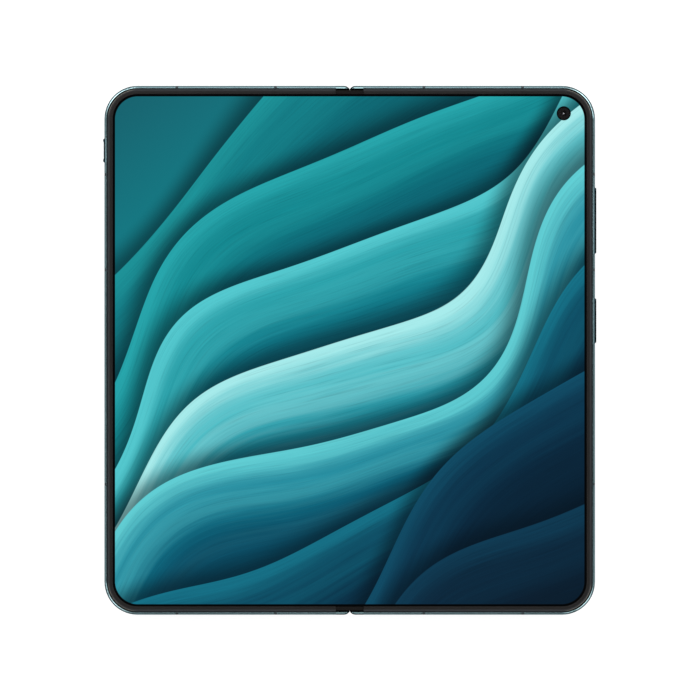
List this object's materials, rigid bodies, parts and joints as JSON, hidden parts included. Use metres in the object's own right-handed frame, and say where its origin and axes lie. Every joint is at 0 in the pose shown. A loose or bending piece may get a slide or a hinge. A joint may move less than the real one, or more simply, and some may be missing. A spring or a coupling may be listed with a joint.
{
  "type": "foldable smartphone",
  "caption": "Book-style foldable smartphone lying open: two slim metal halves share a flexible inner display and a geared hinge, with a round camera island on the back.",
  "frame": {"origin": "on the surface the phone lies on, in the plane of the camera island's outer glass face, below the middle of the open phone", "axes": "+X across the fold to the half with the cameras, +Y along the fold to the top edge, +Z out of the inner display"},
  "size_m": [0.1432, 0.1534, 0.0084],
  "materials": {
    "frame_metal": "satin anodised",
    "key_metal": "satin anodised",
    "bezel_plastic": "fine matt",
    "display_film": "smooth, lit from within",
    "cover_glass": "polished black",
    "back_glass": "frosted",
    "island_glass": "polished black",
    "lens_glass": "coated lens",
    "flash_lens": "diffusing",
    "black_plastic": "matt moulded",
    "steel": "stamped",
    "contact_gold": "plated",
    "battery_wrap": "foil pouch",
    "circuit_board": "solder mask"
  },
  "bodies": {
    "spine": {"spine_cover": "frame_metal", "hinge_blocks": "steel", "hinge_screws": "steel", "display_fold": "display_film", "hinge_cables": "contact_gold"},
    "left_half": {"left_frame": "frame_metal", "left_bezel": "bezel_plastic", "left_display_panel": "display_film", "cover_glass": "cover_glass", "cover_display": "black_plastic", "cover_camera": "black_plastic", "left_battery": "battery_wrap", "left_board": "circuit_board", "top_loudspeaker": "black_plastic", "left_antenna_bands": "bezel_plastic", "left_hinge_arms": "steel", "slider_switch": "steel", "card_reader": "steel", "left_screws": "steel"},
    "right_half": {"right_frame": "frame_metal", "right_bezel": "bezel_plastic", "right_display_panel": "display_film", "back_glass": "back_glass", "island_ring": "frame_metal", "island_glass": "island_glass", "main_camera": "black_plastic", "wide_camera": "black_plastic", "tele_camera": "black_plastic", "camera_lenses": "lens_glass", "flash_lens": "flash_lens", "right_battery": "battery_wrap", "main_board": "circuit_board", "inner_camera": "black_plastic", "usb_port": "steel", "bottom_loudspeaker": "black_plastic", "vibration_motor": "steel", "right_antenna_bands": "bezel_plastic", "key_switches": "contact_gold", "right_hinge_arms": "steel", "right_screws": "steel"},
    "left_plate": {"left_support_plate": "steel"},
    "right_plate": {"right_support_plate": "steel"},
    "left_gears": {"left_idler_gears": "steel"},
    "right_gears": {"right_idler_gears": "steel"},
    "alert_slider": {"alert_slider": "key_metal"},
    "volume_key": {"volume_key": "key_metal"},
    "power_key": {"power_key": "key_metal", "fingerprint_sensor": "display_film"},
    "card_tray": {"card_tray": "frame_metal"}
  },
  "joints": [
    {"name": "fold_right", "type": "hinge", "parent": "spine", "child": "right_half", "pos_m": [0.0019, 0, 0.00655], "axis": [0, -1, 0], "range_deg": [0, 90], "deforming": ["display_fold", "hinge_cables"]},
    {"name": "fold_left", "type": "hinge", "parent": "spine", "child": "left_half", "pos_m": [-0.0019, 0, 0.00655], "axis": [0, 1, 0], "range_deg": [0, 90]},
    {"name": "left_plate_tilt", "type": "hinge", "parent": "left_half", "child": "left_plate", "pos_m": [-0.008, 0, 0.00758], "axis": [0, 1, 0], "range_deg": [0, 22.5]},
    {"name": "right_plate_tilt", "type": "hinge", "parent": "right_half", "child": "right_plate", "pos_m": [0.008, 0, 0.00758], "axis": [0, -1, 0], "range_deg": [0, 22.5]},
    {"name": "left_gears_spin", "type": "hinge", "parent": "spine", "child": "left_gears", "pos_m": [-0.0007, 0, 0.00471], "axis": [0, -1, 0], "range_deg": [0, 193]},
    {"name": "right_gears_spin", "type": "hinge", "parent": "spine", "child": "right_gears", "pos_m": [0.0007, 0, 0.00471], "axis": [0, 1, 0], "range_deg": [0, 193]},
    {"name": "alert_slide", "type": "slide", "parent": "left_half", "child": "alert_slider", "axis": [0, 1, 0], "range_m": [-0.0012, 0.0012]},
    {"name": "volume_rock", "type": "hinge", "parent": "right_half", "child": "volume_key", "pos_m": [0.06995, 0.0377, 0.00555], "axis": [0, 0, 1], "range_deg": [-1.2, 1.2], "stiffness_Nm_per_rad": 0.3},
    {"name": "power_press", "type": "slide", "parent": "right_half", "child": "power_key", "axis": [-1, 0, 0], "range_m": [0, 0.00025], "stiffness_N_per_m": 4000},
    {"name": "card_tray_slide", "type": "slide", "parent": "left_half", "child": "card_tray", "axis": [0, -1, 0], "range_m": [0, 0.018]}
  ],
  "couplings": [
    {"joint": "fold_left", "follows": "fold_right", "ratio": 1},
    {"joint": "left_plate_tilt", "follows": "fold_right", "ratio": 0.24667},
    {"joint": "right_plate_tilt", "follows": "fold_right", "ratio": 0.24667},
    {"joint": "left_gears_spin", "follows": "fold_right", "ratio": 2.1429},
    {"joint": "right_gears_spin", "follows": "fold_right", "ratio": 2.1429}
  ]
}
